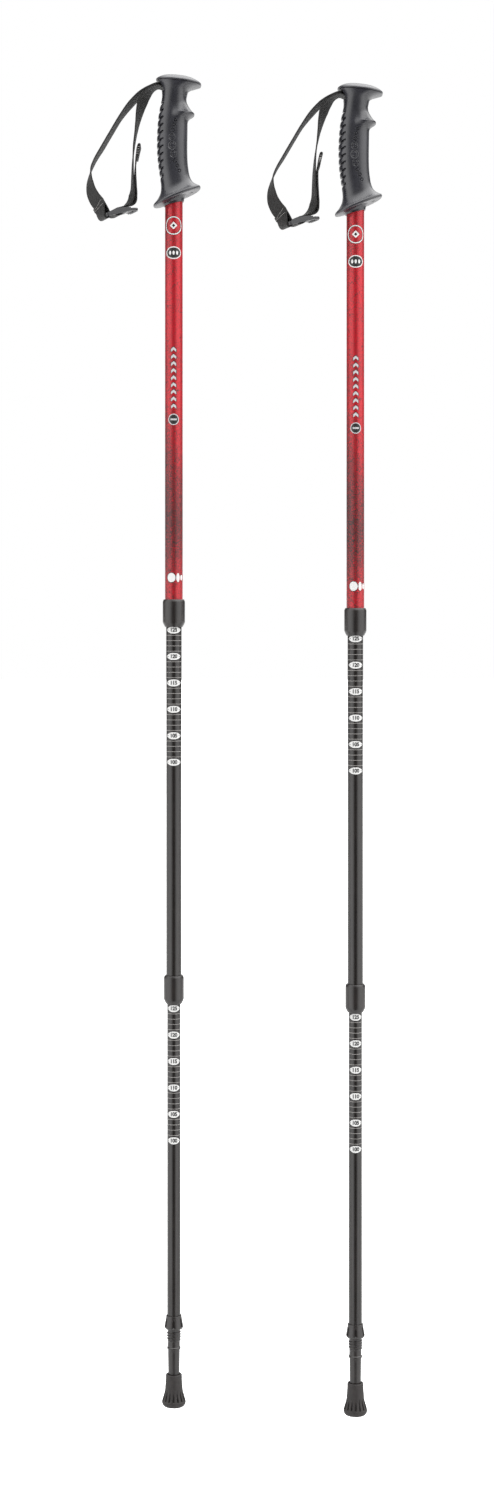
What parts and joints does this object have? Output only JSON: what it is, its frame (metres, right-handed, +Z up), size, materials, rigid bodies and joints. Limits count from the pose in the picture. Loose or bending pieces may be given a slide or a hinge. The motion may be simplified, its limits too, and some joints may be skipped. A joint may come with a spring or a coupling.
{
  "type": "trekking poles",
  "caption": "Telescopic trekking poles with moulded grips, webbing wrist straps, twist locks, scale marks and rubber feet.",
  "frame": {"origin": "on the ground plane under the right pole's sole, midway between the outermost points of the pair", "axes": "+Z up along both poles; +X from the left pole to the right one, the way the grips' finger side faces; +Y away from the viewer"},
  "size_m": [0.2819, 0.0384, 1.2689],
  "materials": {
    "grip_plastic": "black moulded grip plastic, satin",
    "collar_plastic": "black moulded plastic",
    "buckle_plastic": "black acetal",
    "lock_nylon": "natural nylon",
    "red_anodised": "red lacquer with a black crackle print",
    "black_anodised": "black anodised with a white printed scale",
    "webbing": "black woven webbing",
    "steel": "bright steel",
    "rubber": "black moulded rubber"
  },
  "bodies": {
    "left_handle": {"left_grip": "grip_plastic", "left_top_cap": "grip_plastic", "left_strap_pin": "steel", "left_upper_shaft": "red_anodised", "left_upper_collar": "collar_plastic"},
    "left_strap": {"left_wrist_strap": "webbing", "left_strap_buckle": "buckle_plastic"},
    "left_middle_lock": {"left_middle_expander": "lock_nylon"},
    "left_middle_wedge": {"left_middle_cone": "lock_nylon"},
    "left_middle_section": {"left_middle_shaft": "black_anodised", "left_middle_plug": "collar_plastic", "left_middle_stud": "steel", "left_lower_collar": "collar_plastic"},
    "left_lower_lock": {"left_lower_expander": "lock_nylon"},
    "left_lower_wedge": {"left_lower_cone": "lock_nylon"},
    "left_lower_section": {"left_lower_shaft": "black_anodised", "left_lower_plug": "collar_plastic", "left_lower_stud": "steel", "left_tip_ferrule": "collar_plastic", "left_hard_tip": "steel"},
    "left_foot": {"left_rubber_foot": "rubber"},
    "right_handle": {"right_grip": "grip_plastic", "right_top_cap": "grip_plastic", "right_strap_pin": "steel", "right_upper_shaft": "red_anodised", "right_upper_collar": "collar_plastic"},
    "right_strap": {"right_wrist_strap": "webbing", "right_strap_buckle": "buckle_plastic"},
    "right_middle_lock": {"right_middle_expander": "lock_nylon"},
    "right_middle_wedge": {"right_middle_cone": "lock_nylon"},
    "right_middle_section": {"right_middle_shaft": "black_anodised", "right_middle_plug": "collar_plastic", "right_middle_stud": "steel", "right_lower_collar": "collar_plastic"},
    "right_lower_lock": {"right_lower_expander": "lock_nylon"},
    "right_lower_wedge": {"right_lower_cone": "lock_nylon"},
    "right_lower_section": {"right_lower_shaft": "black_anodised", "right_lower_plug": "collar_plastic", "right_lower_stud": "steel", "right_tip_ferrule": "collar_plastic", "right_hard_tip": "steel"},
    "right_foot": {"right_rubber_foot": "rubber"}
  },
  "joints": [
    {"name": "left_strap_swing", "type": "hinge", "parent": "left_handle", "child": "left_strap", "pos_m": [-0.0637, 0, 1.2588], "axis": [0, 1, 0], "range_deg": [-8, 14]},
    {"name": "left_middle_push_in", "type": "slide", "parent": "left_handle", "child": "left_middle_lock", "axis": [0, 0, 1], "range_m": [-0.023, 0.325]},
    {"name": "left_middle_twist", "type": "hinge", "parent": "left_middle_lock", "child": "left_middle_section", "pos_m": [-0.0571, 0, 0.8212], "axis": [0, 0, 1], "range_deg": [0, 360]},
    {"name": "left_middle_wedge_rise", "type": "slide", "parent": "left_middle_lock", "child": "left_middle_wedge", "axis": [0, 0, 1], "range_m": [0, 0.0015]},
    {"name": "left_lower_push_in", "type": "slide", "parent": "left_middle_section", "child": "left_lower_lock", "axis": [0, 0, 1], "range_m": [-0.023, 0.29]},
    {"name": "left_lower_twist", "type": "hinge", "parent": "left_lower_lock", "child": "left_lower_section", "pos_m": [-0.0571, 0, 0.4642], "axis": [0, 0, 1], "range_deg": [0, 360]},
    {"name": "left_lower_wedge_rise", "type": "slide", "parent": "left_lower_lock", "child": "left_lower_wedge", "axis": [0, 0, 1], "range_m": [0, 0.0015]},
    {"name": "left_foot_pull_off", "type": "slide", "parent": "left_lower_section", "child": "left_foot", "axis": [0, 0, -1], "range_m": [0, 0.035]},
    {"name": "right_pole_apart", "type": "slide", "parent": "left_handle", "child": "right_handle", "axis": [1, 0, 0], "range_m": [0, 0.3]},
    {"name": "right_strap_swing", "type": "hinge", "parent": "right_handle", "child": "right_strap", "pos_m": [0.1084, 0, 1.2506], "axis": [0, 1, 0], "range_deg": [-8, 14]},
    {"name": "right_middle_push_in", "type": "slide", "parent": "right_handle", "child": "right_middle_lock", "axis": [0, 0, 1], "range_m": [-0.023, 0.325]},
    {"name": "right_middle_twist", "type": "hinge", "parent": "right_middle_lock", "child": "right_middle_section", "pos_m": [0.115, 0, 0.813], "axis": [0, 0, 1], "range_deg": [0, 360]},
    {"name": "right_middle_wedge_rise", "type": "slide", "parent": "right_middle_lock", "child": "right_middle_wedge", "axis": [0, 0, 1], "range_m": [0, 0.0015]},
    {"name": "right_lower_push_in", "type": "slide", "parent": "right_middle_section", "child": "right_lower_lock", "axis": [0, 0, 1], "range_m": [-0.023, 0.29]},
    {"name": "right_lower_twist", "type": "hinge", "parent": "right_lower_lock", "child": "right_lower_section", "pos_m": [0.115, 0, 0.456], "axis": [0, 0, 1], "range_deg": [0, 360]},
    {"name": "right_lower_wedge_rise", "type": "slide", "parent": "right_lower_lock", "child": "right_lower_wedge", "axis": [0, 0, 1], "range_m": [0, 0.0015]},
    {"name": "right_foot_pull_off", "type": "slide", "parent": "right_lower_section", "child": "right_foot", "axis": [0, 0, -1], "range_m": [0, 0.035]}
  ],
  "couplings": [
    {"joint": "left_middle_wedge_rise", "follows": "left_middle_twist", "m_per_rad": 0.000199},
    {"joint": "left_lower_wedge_rise", "follows": "left_lower_twist", "m_per_rad": 0.000199},
    {"joint": "right_middle_wedge_rise", "follows": "right_middle_twist", "m_per_rad": 0.000199},
    {"joint": "right_lower_wedge_rise", "follows": "right_lower_twist", "m_per_rad": 0.000199}
  ]
}
